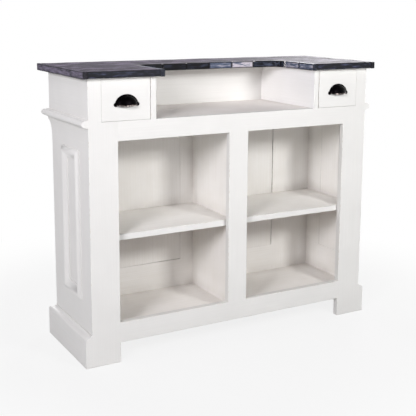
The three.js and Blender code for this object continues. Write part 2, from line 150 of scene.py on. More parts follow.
def makePaint(axis, side):
    material, tree = blankMaterial(side + "SatinPaint" + "XYZ"[axis])
    full, thin, dustShadeMm, dustShadeShare = paintSet["coats"][side]
    coords = add(tree, "ShaderNodeTexCoord").outputs["Object"]
    clouds = add(tree, "ShaderNodeTexNoise", {
        "Vector": coords, "Scale": 1000 / paintSet["cloudMm"], "Detail": 3.0, "Roughness": 0.55,
    }).outputs["Fac"]
    along = add(tree, "ShaderNodeMapping", {
        "Vector": coords,
        "Scale": stretched(axis, paintSet["strokeLengthMm"], paintSet["strokeWidthMm"]),
    }).outputs["Vector"]
    strokes = add(tree, "ShaderNodeTexNoise", {
        "Vector": along, "Scale": 1.0, "Detail": 4.0, "Roughness": 0.6,
    }).outputs["Fac"]
    cover = add(tree, "ShaderNodeMath", {0: clouds, 1: strokes}, operation="MULTIPLY").outputs[0]
    coat = add(tree, "ShaderNodeMapRange", {"Value": cover, 1: 0.12, 2: 0.38, 3: 1.0, 4: 0.0}).outputs[0]
    ground = add(tree, "ShaderNodeMix", {
        "Factor": coat, 6: linear(full), 7: linear(thin),
    }, data_type="RGBA").outputs[2]
    arris = add(tree, "ShaderNodeAttribute", attribute_name="arris").outputs["Fac"]
    rub = add(tree, "ShaderNodeTexNoise", {
        "Vector": coords, "Scale": 1000 / paintSet["rubMm"], "Detail": 3.0,
    }).outputs["Fac"]
    rubbed = add(tree, "ShaderNodeMapRange", {"Value": rub, 1: 0.5, 2: 0.72, 3: 0.0, 4: 0.8}).outputs[0]
    wear = add(tree, "ShaderNodeMath", {0: arris, 1: rubbed}, operation="MULTIPLY").outputs[0]
    worn = add(tree, "ShaderNodeMix", {
        "Factor": wear, 6: ground, 7: linear(paintSet["rubbed"]),
    }, data_type="RGBA").outputs[2]
    # dust and painted shade: the colour darkens towards a warm grey where ambient occlusion finds inner
    # corners and recesses
    openness = add(tree, "ShaderNodeAmbientOcclusion", {"Distance": dustShadeMm * mm}, samples=12).outputs["AO"]
    corner = add(tree, "ShaderNodeMapRange", {
        "Value": openness, 1: 0.4, 2: 0.95, 3: dustShadeShare, 4: 0.0,
    }).outputs[0]
    patchy = add(tree, "ShaderNodeMapRange", {"Value": clouds, 1: 0.38, 2: 0.6, 3: 0.15, 4: 1.0}).outputs[0]
    dustAndShade = add(tree, "ShaderNodeMath", {0: corner, 1: patchy}, operation="MULTIPLY").outputs[0]
    colour = add(tree, "ShaderNodeMix", {
        "Factor": dustAndShade, 6: worn, 7: linear(paintSet["dustAndShade"]),
    }, data_type="RGBA").outputs[2]
    low, high = paintSet["roughness"]
    gloss = add(tree, "ShaderNodeMapRange", {"Value": strokes, 1: 0.3, 2: 0.7, 3: low, 4: high}).outputs[0]
    finishSurface(tree, paintSet, colour, gloss, strokes, IOR=paintSet["ior"])
    return material


# Blue-black stain under a thin satin lacquer on planed planks: the open grain stays darker than the wood
# between, sawn edges drink more stain than the top, some edging blocks are paler as a painted reflection of
# the lamps in their gloss, and the lacquer greys the top where it is seen at a low angle.
stainSet = {
    "top": ("#1C1825", "#393344", "#7E7389"),  # grain, wood, streak
    "pale": "#C8C2CB", "chip": "#ECEAEC",  # pale: a painted reflection on glossy blocks; chip: chips, and the painted sparkle at the knocked joint
    "halfTone": (0.1, 0.45), "paleTone": (0.5, 0.95),  # tones at which they begin and end to look so
    "rimZ": (1073.0, 1100.0), "rimMm": (2.0, 6.0), "jointMm": (2.0, 5.5),  # darker bands at the top and bottom of upright faces, and at block joints
    "grainLengthMm": 230, "grainWidthMm": 6,  # real grain is about 1 mm wide, drawn coarser to show
    "clumpMm": 60, "edgeStreakMm": (46, 8), "poreMm": 1.6, "poreStretch": 16, "edgeDarkening": 0.85,
    "chipMm": 6, "chipReachMm": (2.0, 9.0), "knockLoosens": 0.045, "bumpMm": 0.2, "bumpStrength": 0.6,
    # edge: as top, half: a paler blue-grey, on the edging blocks a fainter painted reflection
    "plank": {
        "edge": ("#04050A", "#0B0E18", "#43465C"), "half": "#716A7C", "roughness": (0.56, 0.78), "ior": 1.33,
    },
    "block": {
        "edge": ("#020205", "#06070D", "#2B2E3E"), "half": "#626B80", "roughness": (0.34, 0.52), "ior": 1.22,
    },
}


def makeStain(axis, kind):
    material, tree = blankMaterial("stained" + kind.capitalize() + "XYZ"[axis])
    coords = add(tree, "ShaderNodeTexCoord").outputs["Object"]
    tone, edge, arris, inset = [add(tree, "ShaderNodeAttribute", attribute_name=name).outputs["Fac"]
                                for name in ("tone", "edge", "arris", "inset")]
    shift = add(tree, "ShaderNodeCombineXYZ", {"X": tone, "Y": tone, "Z": tone}).outputs[0]
    moved = add(tree, "ShaderNodeVectorMath", {0: coords, 1: shift}, operation="ADD").outputs[0]
    along = add(tree, "ShaderNodeMapping", {
        "Vector": moved, "Scale": stretched(axis, stainSet["grainLengthMm"], stainSet["grainWidthMm"]),
    }).outputs["Vector"]
    grain = add(tree, "ShaderNodeTexNoise", {
        "Vector": along, "Scale": 1.0, "Detail": 5.0, "Roughness": 0.62, "Distortion": 0.35,
    }).outputs["Fac"]
    clump = add(tree, "ShaderNodeTexNoise", {
        "Vector": moved, "Scale": 1000 / stainSet["clumpMm"], "Detail": 3.0,
    }).outputs["Fac"]
    sawn = add(tree, "ShaderNodeMapping", {
        "Vector": moved, "Scale": stretched(axis, *stainSet["edgeStreakMm"]),
    }).outputs["Vector"]
    drink = add(tree, "ShaderNodeTexNoise", {
        "Vector": sawn, "Scale": 1.0, "Detail": 4.0, "Roughness": 0.65,
    }).outputs["Fac"]
    poreMm = stainSet["poreMm"]
    pores = add(tree, "ShaderNodeMapping", {
        "Vector": moved, "Scale": stretched(axis, poreMm * stainSet["poreStretch"], poreMm),
    }).outputs["Vector"]
    pore = add(tree, "ShaderNodeTexNoise", {"Vector": pores, "Scale": 1.0, "Detail": 2.0}).outputs["Fac"]
    between = add(tree, "ShaderNodeMapRange", {"Value": grain, 1: 0.36, 2: 0.62, 3: 0.0, 4: 1.0}).outputs[0]
    both = add(tree, "ShaderNodeMath", {0: grain, 1: clump}, operation="MULTIPLY").outputs[0]
    topLift = add(tree, "ShaderNodeMapRange", {"Value": both, 1: 0.2, 2: 0.34, 3: 0.0, 4: 1.0}).outputs[0]
    edgeLift = add(tree, "ShaderNodeMapRange", {"Value": drink, 1: 0.5, 2: 0.7, 3: 0.0, 4: 1.0}).outputs[0]
    looks = []
    for hues, lift in ((stainSet["top"], topLift), (stainSet[kind]["edge"], edgeLift)):
        deep, body, streak = [linear(colour) for colour in hues]
        wood = add(tree, "ShaderNodeMix", {"Factor": between, 6: deep, 7: body}, data_type="RGBA").outputs[2]
        look = add(tree, "ShaderNodeMix", {"Factor": lift, 6: wood, 7: streak}, data_type="RGBA")
        looks.append(look.outputs[2])
    stained = add(tree, "ShaderNodeMix", {
        "Factor": edge, 6: looks[0], 7: looks[1],
    }, data_type="RGBA").outputs[2]
    uneven = add(tree, "ShaderNodeMapRange", {"Value": drink, 1: 0.34, 2: 0.66, 3: 0.4, 4: 1.6}).outputs[0]
    share = add(tree, "ShaderNodeMath", {0: tone, 1: uneven}, operation="MULTIPLY").outputs[0]
    # paler tones mix in the half and pale colours; on the edging blocks these are painted reflections of the
    # lamps
    paled = stained
    shades = (stainSet["halfTone"], stainSet[kind]["half"]), (stainSet["paleTone"], stainSet["pale"])
    for (start, end), paleHue in shades:
        bare = add(tree, "ShaderNodeMapRange", {"Value": share, 1: start, 2: end, 3: 0.0, 4: 1.0}).outputs[0]
        paled = add(tree, "ShaderNodeMix", {
            "Factor": bare, 6: paled, 7: linear(paleHue),
        }, data_type="RGBA").outputs[2]
    height = add(tree, "ShaderNodeSeparateXYZ", {0: coords}).outputs["Z"]
    near, far = [size * mm for size in stainSet["rimMm"]]
    bottom, top = [z * mm for z in stainSet["rimZ"]]
    low = add(tree, "ShaderNodeMapRange", {
        "Value": height, 1: bottom + near, 2: bottom + far, 3: 1.0, 4: 0.0,
    }).outputs[0]
    high = add(tree, "ShaderNodeMapRange", {
        "Value": height, 1: top - far, 2: top - near, 3: 0.0, 4: 1.0,
    }).outputs[0]
    rims = add(tree, "ShaderNodeMath", {0: low, 1: high}, operation="MAXIMUM").outputs[0]
    near, far = [size * mm for size in stainSet["jointMm"]]
    joint = add(tree, "ShaderNodeMapRange", {"Value": inset, 1: near, 2: far, 3: 1.0, 4: 0.0}).outputs[0]
    borders = add(tree, "ShaderNodeMath", {0: rims, 1: joint}, operation="MAXIMUM").outputs[0]
    onEdge = add(tree, "ShaderNodeMath", {0: borders, 1: edge}, operation="MULTIPLY").outputs[0]
    # darker along arrises and in bands at the top and bottom of upright faces
    dark = add(tree, "ShaderNodeMath", {0: onEdge, 1: arris}, operation="MAXIMUM").outputs[0]
    edgeDarkening = add(tree, "ShaderNodeMath", {0: dark, 1: stainSet["edgeDarkening"]}, operation="MULTIPLY").outputs[0]
    colour = add(tree, "ShaderNodeMix", {
        "Factor": edgeDarkening, 6: paled, 7: linear(stainSet[kind]["edge"][0]),
    }, data_type="RGBA").outputs[2]
    if kind == "block":
        knocks = add(tree, "ShaderNodeTexNoise", {
            "Vector": coords, "Scale": 1000 / stainSet["chipMm"], "Detail": 2.0,
        }).outputs["Fac"]
        # chips near joints; at the knocked joint they also stand for a painted sparkle of highlights
        knockedSparkle = add(tree, "ShaderNodeAttribute", attribute_name="knockedSparkle").outputs["Fac"]
        loose = add(tree, "ShaderNodeMath", {
            0: knockedSparkle, 1: stainSet["knockLoosens"], 2: knocks,
        }, operation="MULTIPLY_ADD").outputs[0]
        chips = add(tree, "ShaderNodeMapRange", {"Value": loose, 1: 0.58, 2: 0.64, 3: 0.0, 4: 3.0}).outputs[0]
        near, far = [size * mm for size in stainSet["chipReachMm"]]
        atJoint = add(tree, "ShaderNodeMapRange", {
            "Value": inset, 1: near, 2: far, 3: 1.0, 4: 0.0,
        }).outputs[0]
        exposed = add(tree, "ShaderNodeMath", {0: arris, 1: knockedSparkle}, operation="MAXIMUM").outputs[0]
        lost = add(tree, "ShaderNodeMath", {0: chips, 1: exposed}, operation="MULTIPLY").outputs[0]
        chipped = add(tree, "ShaderNodeMath", {
            0: lost, 1: atJoint,
        }, operation="MULTIPLY", use_clamp=True).outputs[0]
        colour = add(tree, "ShaderNodeMix", {
            "Factor": chipped, 6: colour, 7: linear(stainSet["chip"]),
        }, data_type="RGBA").outputs[2]
    low, high = stainSet[kind]["roughness"]
    gloss = add(tree, "ShaderNodeMapRange", {"Value": grain, 1: 0.3, 2: 0.7, 3: high, 4: low}).outputs[0]
    relief = add(tree, "ShaderNodeMath", {0: grain, 1: pore}, operation="ADD").outputs[0]
    finishSurface(tree, stainSet, colour, gloss, relief, IOR=stainSet[kind]["ior"])
    return material


# Blackened cast iron: sand-cast, so it is faintly pitted, black from the oven, and rubbed through to a pale
# brownish pink in places along the lip where fingers pull, which also paints the glints on the lip.
ironSet = {
    "black": "#050405", "worn": "#D8C8C2", "pitMm": 1.3, "mottleMm": 5,
    "lipZ": (971.0, 977.0), "lipY": (-233.0, -238.0),
    "roughness": (0.26, 0.5), "bumpMm": 0.16, "bumpStrength": 0.5,
}


def makeIron():
    material, tree = blankMaterial("blackenedCastIron")
    coords = add(tree, "ShaderNodeTexCoord").outputs["Object"]
    parts = add(tree, "ShaderNodeSeparateXYZ", {0: coords}).outputs
    low, high = [z * mm for z in ironSet["lipZ"]]
    atLip = add(tree, "ShaderNodeMapRange", {
        "Value": parts["Z"], 1: low, 2: high, 3: 1.0, 4: 0.0,
    }, interpolation_type="SMOOTHSTEP").outputs[0]
    near, far = [y * mm for y in ironSet["lipY"]]
    offWall = add(tree, "ShaderNodeMapRange", {
        "Value": parts["Y"], 1: near, 2: far, 3: 0.0, 4: 1.0,
    }).outputs[0]
    pits = add(tree, "ShaderNodeTexNoise", {
        "Vector": coords, "Scale": 1000 / ironSet["pitMm"], "Detail": 2.0,
    }).outputs["Fac"]
    mottle = add(tree, "ShaderNodeTexNoise", {
        "Vector": coords, "Scale": 1000 / ironSet["mottleMm"], "Detail": 3.0,
    }).outputs["Fac"]
    patch = add(tree, "ShaderNodeMapRange", {"Value": mottle, 1: 0.46, 2: 0.62, 3: 0.0, 4: 1.0}).outputs[0]
    # the rubbed lip, which also stands for painted glints
    lipWearGlint = add(tree, "ShaderNodeMath", {0: atLip, 1: offWall}, operation="MULTIPLY").outputs[0]
    rubbed = add(tree, "ShaderNodeMath", {0: lipWearGlint, 1: patch}, operation="MULTIPLY").outputs[0]
    colour = add(tree, "ShaderNodeMix", {
        "Factor": rubbed, 6: linear(ironSet["black"]), 7: linear(ironSet["worn"]),
    }, data_type="RGBA").outputs[2]
    low, high = ironSet["roughness"]
    gloss = add(tree, "ShaderNodeMapRange", {"Value": mottle, 1: 0.3, 2: 0.7, 3: low, 4: high}).outputs[0]
    finishSurface(tree, ironSet, colour, gloss, pits, Metallic=1.0)
    return material


# Planed bare pine of the drawer boxes: straw-coloured early wood between darker resin lines, matt.
pineSet = {
    "early": "#DCC296", "late": "#B98F58", "ringMm": 7, "grainLengthMm": 320,
    "roughness": (0.55, 0.72), "bumpMm": 0.1, "bumpStrength": 0.5, "ior": 1.5,
}


def makePine(axis):
    material, tree = blankMaterial("planedPine" + "XYZ"[axis])
    coords = add(tree, "ShaderNodeTexCoord").outputs["Object"]
    along = add(tree, "ShaderNodeMapping", {
        "Vector": coords, "Scale": stretched(axis, pineSet["grainLengthMm"], pineSet["ringMm"]),
    }).outputs["Vector"]
    grain = add(tree, "ShaderNodeTexNoise", {
        "Vector": along, "Scale": 1.0, "Detail": 4.0, "Distortion": 0.8,
    }).outputs["Fac"]
    rings = add(tree, "ShaderNodeMapRange", {"Value": grain, 1: 0.42, 2: 0.66, 3: 0.0, 4: 0.85}).outputs[0]
    colour = add(tree, "ShaderNodeMix", {
        "Factor": rings, 6: linear(pineSet["early"]), 7: linear(pineSet["late"]),
    }, data_type="RGBA").outputs[2]
    low, high = pineSet["roughness"]
    gloss = add(tree, "ShaderNodeMapRange", {"Value": grain, 1: 0.3, 2: 0.7, 3: high, 4: low}).outputs[0]
    finishSurface(tree, pineSet, colour, gloss, grain, IOR=pineSet["ior"])
    return material


paints = {side: [makePaint(axis, side) for axis in range(3)] for side in paintSet["coats"]}
stains = {kind: [makeStain(axis, kind) for axis in range(2)] for kind in ("plank", "block")}
pines = [makePine(axis) for axis in range(3)]
iron = makeIron()
print("materials made")


def newObject(name, mesh):
    obj = bpy.data.objects.new(name, mesh)
    scene.collection.objects.link(obj)
    return obj


# an object made of a bmesh, which is then freed
def bmObject(name, bm):
    mesh = bpy.data.meshes.new(name)
    bm.to_mesh(mesh)
    bm.free()
    return newObject(name, mesh)


# the evaluated shape becomes the piece's own plain mesh, without the empty slot that a tree leaves first
def settle(obj):
    bpy.context.view_layer.update()
    graph = bpy.context.evaluated_depsgraph_get()
    shown = obj.evaluated_get(graph)
    plain = bpy.data.meshes.new_from_object(shown, preserve_all_data_layers=True, depsgraph=graph)
    if plain.materials and plain.materials[0] is None:
        plain.materials.pop(index=0)
    obj.modifiers.clear()
    obj.data = plain
    return obj


# flat faces stay flat and only the narrow ones between them turn the light
def weighNormals(obj, sharpDegrees=60):
    obj.data.shade_smooth()
    obj.data.set_sharp_from_angle(angle=math.radians(sharpDegrees))
    obj.modifiers.new("weigh", "WEIGHTED_NORMAL").keep_sharp = True


def place(obj, body, slot, *replaced):
    if replaced:
        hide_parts(*replaced)
    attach(obj, body)


def merged(node):
    bm = bmesh.new()
    bm.from_mesh(nodes[node].data)
    bmesh.ops.remove_doubles(bm, verts=bm.verts, dist=boardSet["weldMm"] * mm)
    flat = math.radians(boardSet["flatDegrees"])
    bmesh.ops.dissolve_limit(bm, angle_limit=flat, verts=bm.verts, edges=bm.edges)
    return bm


def longestAxis(node):
    low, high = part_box(node)
    size = high - low
    return max(range(3), key=lambda i: size[i])


# Boards: planed square, then every arris that shows is eased with sandpaper. Edges that lie against a
# neighbour stay sharp, so that flush joints close up.
boardSet = {
    "arrisMm": {"painted_wood": 1.4, "bare_wood": 0.8}, "segments": 2, "bridgedEase": 0.25,
    "weldMm": 0.01, "flatDegrees": 0.5, "foldRadians": 0.5, "squareDot": 0.995, "facingDot": 0.4,
    "probeOutMm": 1.0, "probeInMm": 3.0, "probeStepMm": 8.0, "refineSteps": 7, "rayNudge": 1e-6,
    "nearMm": 2.0, "bridgeReachMm": 4.0, "frontY": -150.0, "recessZ": 900.0,
}
# Joints that paint has bridged or wear has opened: axis, side, how many steps in that face lies (1 behind a
# panel's tongue), mm that the joint closes by, or the mm at its two ends
shiftedSides = {
    "rear_left_panel": [(0, 1, 1, 1.6), (2, -1, 1, (1.7, 0.1))], "rear_right_panel": [(2, -1, 1, 1.8)],
    "right_end_panel": [(1, 1, 1, 1.4), (1, -1, 1, 1.4), (2, -1, 1, 1.2), (2, 1, 1, 1.7)],
    "left_drawer_front": [(0, -1, 0, 0.9), (0, 1, 0, -0.8), (2, -1, 0, 0.6)],
    "right_drawer_front": [(0, 1, 0, 0.9), (0, -1, 0, -0.8), (2, -1, 0, 0.6)],
}
insideWords = ("floor_board", "deck", "partition", "shelf", "divider")
inwards = {"right_end": (-1, 0, 0), "left_end": (1, 0, 0), "rear": (0, -1, 0)}
trees = {
    name: BVHTree.FromPolygons([v.co for v in obj.data.vertices], [p.vertices for p in obj.data.polygons])
    for name, obj in nodes.items()
}
boxes = {name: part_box(name) for name in nodes}
probeWay = Vector((0.5377, 0.6211, 0.5701)).normalized()  # skew, so that rays miss the edges


def insideNode(point, name):
    low, high = boxes[name]
    if any(point[i] < low[i] or point[i] > high[i] for i in range(3)):
        return False
    start, hits = point.copy(), 0
    while True:
        where = trees[name].ray_cast(start, probeWay)[0]
        if where is None:
            return hits % 2 == 1
        hits += 1
        start = where + probeWay * boardSet["rayNudge"]


def coveredAt(point, normals, others):
    out, deep = boardSet["probeOutMm"] * mm, boardSet["probeInMm"] * mm
    for first, second in (normals, normals[::-1]):
        probe = point + first * out - second * deep
        if any(insideNode(probe, name) for name in others):
            return True
    return False


# splits an edge where a neighbour's cover begins or ends
def splitAtCover(edge, others):
    normals = [face.normal.copy() for face in edge.link_faces]
    start, end = edge.verts
    origin, run = start.co.copy(), end.co - start.co
    steps = max(2, math.ceil(run.length / (boardSet["probeStepMm"] * mm)))
    shares = [(i + 0.5) / steps for i in range(steps)]
    states = [coveredAt(origin + run * share, normals, others) for share in shares]
    cuts = []
    for i in range(steps - 1):
        if states[i] != states[i + 1]:
            low, high = shares[i], shares[i + 1]
            for _ in range(boardSet["refineSteps"]):
                middle = (low + high) / 2
                if coveredAt(origin + run * middle, normals, others) == states[i]:
                    low = middle
                else:
                    high = middle
            cuts.append((low + high) / 2)
    edges = [(edge, states[0])]
    done, state = 0.0, states[0]
    for cut in cuts:
        state = not state
        rest, _ = edges[-1]
        first, _ = bmesh.utils.edge_split(rest, start, (cut - done) / (1 - done))
        edges = edges[:-1] + [(first, not state), (rest, state)]
        start = next(v for v in first.verts if v in rest.verts)
        done = cut
    return edges


def sidePlane(bm, axis, side, steps):
    levels = {round(v.co[axis], 5) for v in bm.verts}  # to 0.01 mm
    return sorted(levels, reverse=side > 0)[steps]


def closingEnds(closing):
    return closing if isinstance(closing, tuple) else (closing, closing)


def findBridges():
    found = []
    for node, sides in shiftedSides.items():
        bm = merged(node)
        for axis, side, steps, closing in sides:
            if max(closingEnds(closing)) > 0:
                found.append((axis, sidePlane(bm, axis, side, steps), boxes[node]))
        bm.free()
    return found


def bridgedAt(point):
    reach = boardSet["bridgeReachMm"] * mm
    for axis, plane, (low, high) in bridges:
        beside = all(low[i] - reach < point[i] < high[i] + reach for i in range(3))
        if beside and abs(point[axis] - plane) < reach:
            return True
    return False


# which copy of the paint a face has; the copies are painted light and shade, lighter or darker by how light
# falls on each place, and front edges, lit as the face frame is, take the face frame's copy
def coatOf(node, face):
    dot = boardSet["facingDot"]
    facing = [face.normal.dot(Vector(way)) > dot for word, way in inwards.items() if node.startswith(word)]
    atFront = face.normal.y < -dot and face.center.y < boardSet["frontY"] * mm
    sheltered = facing[0] if facing else any(word in node for word in insideWords) and not atFront
    if not sheltered:
        return "outside"
    if "deck" in node and face.normal.z > 0:
        return "deck"
    if "shelf" in node and face.normal.z < -dot:
        return "underside"
    if face.center.z < boardSet["recessZ"] * mm:
        return "inside"
    return "recessBack" if facing else "recess"


def easeBoard(node):
    slot = slotOf[node]
    others = [name for name in nodes if name != node and bodyOf[name] == bodyOf[node]]
    reach = Vector((boardSet["nearMm"] * mm,) * 3)
    low, high = boxes[node][0] - reach, boxes[node][1] + reach
    near = [n for n in others if all(boxes[n][0][i] < high[i] and boxes[n][1][i] > low[i] for i in range(3))]
    bm = merged(node)
    for axis, side, steps, closing in shiftedSides.get(node, []):
        plane = sidePlane(bm, axis, side, steps)
        first, last = closingEnds(closing)
        along = 0 if axis == 2 else 2
        start, end = boxes[node][0][along], boxes[node][1][along]
        for vert in [v for v in bm.verts if abs(v.co[axis] - plane) < boardSet["weldMm"] * mm]:
            share = (vert.co[along] - start) / (end - start)
            vert.co[axis] += side * (first + (last - first) * share) * mm
    bm.normal_update()
    weight = bm.edges.layers.float.new("bevel_weight_edge")
    folds = [e for e in bm.edges if e.is_manifold and e.is_convex]
    for edge in [e for e in folds if e.calc_face_angle() > boardSet["foldRadians"]]:
        for part, covered in splitAtCover(edge, near):
            middle = (part.verts[0].co + part.verts[1].co) / 2
            part[weight] = 0.0 if covered else boardSet["bridgedEase"] if bridgedAt(middle) else 1.0
    obj = bmObject(node + "_eased", bm)
    bevel = obj.modifiers.new("ease", "BEVEL")
    bevel.limit_method = "WEIGHT"
    bevel.width = boardSet["arrisMm"][slot] * mm
    bevel.segments = boardSet["segments"]
    bevel.use_clamp_overlap = True
    weighNormals(obj)
    settle(obj)
    arris = obj.data.attributes.new("arris", "FLOAT", "FACE")
    arris.data.foreach_set("value", [
        float(max(abs(c) for c in p.normal) < boardSet["squareDot"]) for p in obj.data.polygons])
    axis = longestAxis(node)
    if slot == "bare_wood":
        obj.data.materials.append(pines[axis])
    else:
        coats = [coatOf(node, face) for face in obj.data.polygons]
        used = sorted(set(coats))
        for coat in used:
            obj.data.materials.append(paints[coat][axis])
        for face, coat in zip(obj.data.polygons, coats):
            face.material_index = used.index(coat)
    place(obj, bodyOf[node], slot, node)


# Mouldings keep their profile; their curves are smoothed and their quirks stay crisp
mouldingSet = {"words": ("moulding", "astragal", "plinth", "cornice"), "sharpDegrees": 38}


def smoothMoulding(node):
    obj = bmObject(node + "_smooth", merged(node))
    weighNormals(obj, mouldingSet["sharpDegrees"])
    settle(obj)
    obj.data.materials.append(paints["outside"][longestAxis(node)])
    place(obj, bodyOf[node], slotOf[node], node)


bridges = findBridges()
for node in [n for n in nodes if slotOf[n] in boardSet["arrisMm"]]:
    if any(word in node for word in mouldingSet["words"]):
        smoothMoulding(node)
    else:
        easeBoard(node)
print("boards and mouldings eased")


# an empty tree of geometry nodes with these named inputs
def newTree(name, wanted):
    tree = bpy.data.node_groups.new(name, "GeometryNodeTree")
    tree.interface.new_socket("Geometry", in_out="OUTPUT", socket_type="NodeSocketGeometry")
    for socket, kind in wanted.items():
        tree.interface.new_socket(socket, in_out="INPUT", socket_type="NodeSocket" + kind)
    return tree, add(tree, "NodeGroupInput").outputs


# what a tree makes of these values, as a plain mesh
def grow(name, tree, values):
    obj = newObject(name, bpy.data.meshes.new(name))
    modifier = obj.modifiers.new("grow", "NODES")
    modifier.node_group = tree
    for item in [item for item in tree.interface.items_tree if item.in_out == "INPUT"]:
        modifier[item.identifier] = values[item.name]
    return settle(obj)


# A run of planks or blocks: one rounded length of wood, repeated at a step, each with its own tone.
# The faces wander a little, as hand-planed wood does.
runSet = {"pathPoints": 25, "roundSteps": 3, "wavesPerMetre": 13.0}


def makeRunTree():
    tree, given = newTree("woodRun", {
        "Start": "Vector", "Step": "Vector", "Turn": "Float", "Length": "Float", "Width": "Float",
        "Thick": "Float", "Round": "Float", "Count": "Int", "Tone": "Float", "Tone Step": "Float",
        "Tone Spread": "Float", "Wander": "Float", "Seed": "Int", "Material": "Material",
    })
    far = add(tree, "ShaderNodeCombineXYZ", {"X": given["Length"]}).outputs[0]
    line = add(tree, "GeometryNodeCurvePrimitiveLine", {"End": far}).outputs[0]
    path = add(tree, "GeometryNodeResampleCurve", {
        "Curve": line, "Count": runSet["pathPoints"],
    }).outputs[0]
    upright = add(tree, "GeometryNodeSetCurveNormal", {"Curve": path}, mode="Z_UP").outputs[0]
    section = add(tree, "GeometryNodeCurvePrimitiveQuadrilateral", {
        "Width": given["Width"], "Height": given["Thick"],
    }).outputs[0]
    rounded = add(tree, "GeometryNodeFilletCurve", {
        "Curve": section, "Radius": given["Round"], "Count": runSet["roundSteps"],
    }, mode="POLY").outputs[0]
    plank = add(tree, "GeometryNodeCurveToMesh", {
        "Curve": upright, "Profile Curve": rounded, "Fill Caps": True,
    }).outputs[0]
    position = add(tree, "GeometryNodeInputPosition").outputs[0]
    fromStart = add(tree, "ShaderNodeSeparateXYZ", {0: position}).outputs["X"]
    fromEnd = add(tree, "ShaderNodeMath", {0: given["Length"], 1: fromStart}, operation="SUBTRACT").outputs[0]
    inset = add(tree, "ShaderNodeMath", {0: fromStart, 1: fromEnd}, operation="MINIMUM").outputs[0]
    marked = add(tree, "GeometryNodeStoreNamedAttribute", {
        "Geometry": plank, "Name": "inset", "Value": inset,
    }, data_type="FLOAT", domain="POINT").outputs[0]
    points = add(tree, "GeometryNodeMeshLine", {
        "Count": given["Count"], "Start Location": given["Start"], "Offset": given["Step"],
    }, mode="OFFSET").outputs[0]
    turn = add(tree, "ShaderNodeCombineXYZ", {"Z": given["Turn"]}).outputs[0]
    run = add(tree, "GeometryNodeInstanceOnPoints", {
        "Points": points, "Instance": marked, "Rotation": turn,
    }).outputs[0]
    index = add(tree, "GeometryNodeInputIndex").outputs[0]
    stepped = add(tree, "ShaderNodeMath", {
        0: index, 1: given["Tone Step"], 2: given["Tone"],
    }, operation="MULTIPLY_ADD").outputs[0]
    chance = add(tree, "FunctionNodeRandomValue", {
        2: 0.0, 3: 1.0, "Seed": given["Seed"],
    }, data_type="FLOAT").outputs[1]
    spread = add(tree, "ShaderNodeMath", {
        0: chance, 1: given["Tone Spread"], 2: stepped,
    }, operation="MULTIPLY_ADD", use_clamp=True).outputs[0]
    toned = add(tree, "GeometryNodeStoreNamedAttribute", {
        "Geometry": run, "Name": "tone", "Value": spread,
    }, data_type="FLOAT", domain="INSTANCE").outputs[0]
    real = add(tree, "GeometryNodeRealizeInstances", {"Geometry": toned}).outputs[0]
    noise = add(tree, "ShaderNodeTexNoise", {
        "Vector": position, "Scale": runSet["wavesPerMetre"], "Detail": 1.0,
    }).outputs["Color"]
    centred = add(tree, "ShaderNodeVectorMath", {
        0: noise, 1: (0.5, 0.5, 0.5),
    }, operation="SUBTRACT").outputs[0]
    wander = add(tree, "ShaderNodeVectorMath", {
        0: centred, "Scale": given["Wander"],
    }, operation="SCALE").outputs[0]
    moved = add(tree, "GeometryNodeSetPosition", {"Geometry": real, "Offset": wander}).outputs[0]
    painted = add(tree, "GeometryNodeSetMaterial", {
        "Geometry": moved, "Material": given["Material"],
    }).outputs[0]
    add(tree, "NodeGroupOutput", {"Geometry": painted})
    return tree


runTree = makeRunTree()


# one run with places and sizes in mm: length, width, thickness and rounding, then first tone, step and spread
def makeRun(name, material, start, step, turn, count, sizes, tones, wander, seed):
    values = {
        "Start": [c * mm for c in start], "Step": [c * mm for c in step], "Turn": math.radians(turn),
        "Count": count, "Wander": wander * mm, "Seed": seed, "Material": material,
    }
    values.update(zip(("Length", "Width", "Thick", "Round"), [size * mm for size in sizes]))
    values.update(zip(("Tone", "Tone Step", "Tone Spread"), tones))
    return grow(name, runTree, values)


# Rounded arrises and upright faces are marked for the stain; a wide slanted face is a bend, not an arris
markSet = {"squareDot": 0.97, "slantZ": 0.1, "narrowMm2": 60, "uprightZ": 0.5}


def isArris(face):
    slanted = max(abs(c) for c in face.normal) < markSet["squareDot"]
    return slanted and (abs(face.normal.z) > markSet["slantZ"] or face.area < markSet["narrowMm2"] * mm * mm)


def markFaces(obj):
    faces = obj.data.polygons
    arris = obj.data.attributes.new("arris", "FLOAT", "FACE")
    arris.data.foreach_set("value", [float(isArris(f)) for f in faces])
    edge = obj.data.attributes.new("edge", "FLOAT", "FACE")
    edge.data.foreach_set("value", [float(abs(f.normal.z) < markSet["uprightZ"]) for f in faces])


# Top: planks along the counter, with a strip across their ends at each side
topSet = {
    "stripWidth": 18.0, "rearPlanks": 2, "armPlanks": 3, "round": 2.4, "gap": 1.2,
    "tone": 0.0, "leftStripTone": 0.27, "spread": 0.08, "wander": 3.5, "stripSeed": 5,
    "seeds": {"countertop_rear": 3, "countertop_left_arm": 11, "countertop_right_arm": 17},
}


def millimetres(node):
    return [[c / mm for c in corner] for corner in boxes[node]]


# the undersides are painted with the case, so they throw light back into the recess
def paintUnderside(obj):
    obj.data.materials.append(paints["recess"][0])
    for face in obj.data.polygons:
        if face.normal.z < -markSet["uprightZ"]:
            face.material_index = len(obj.data.materials) - 1


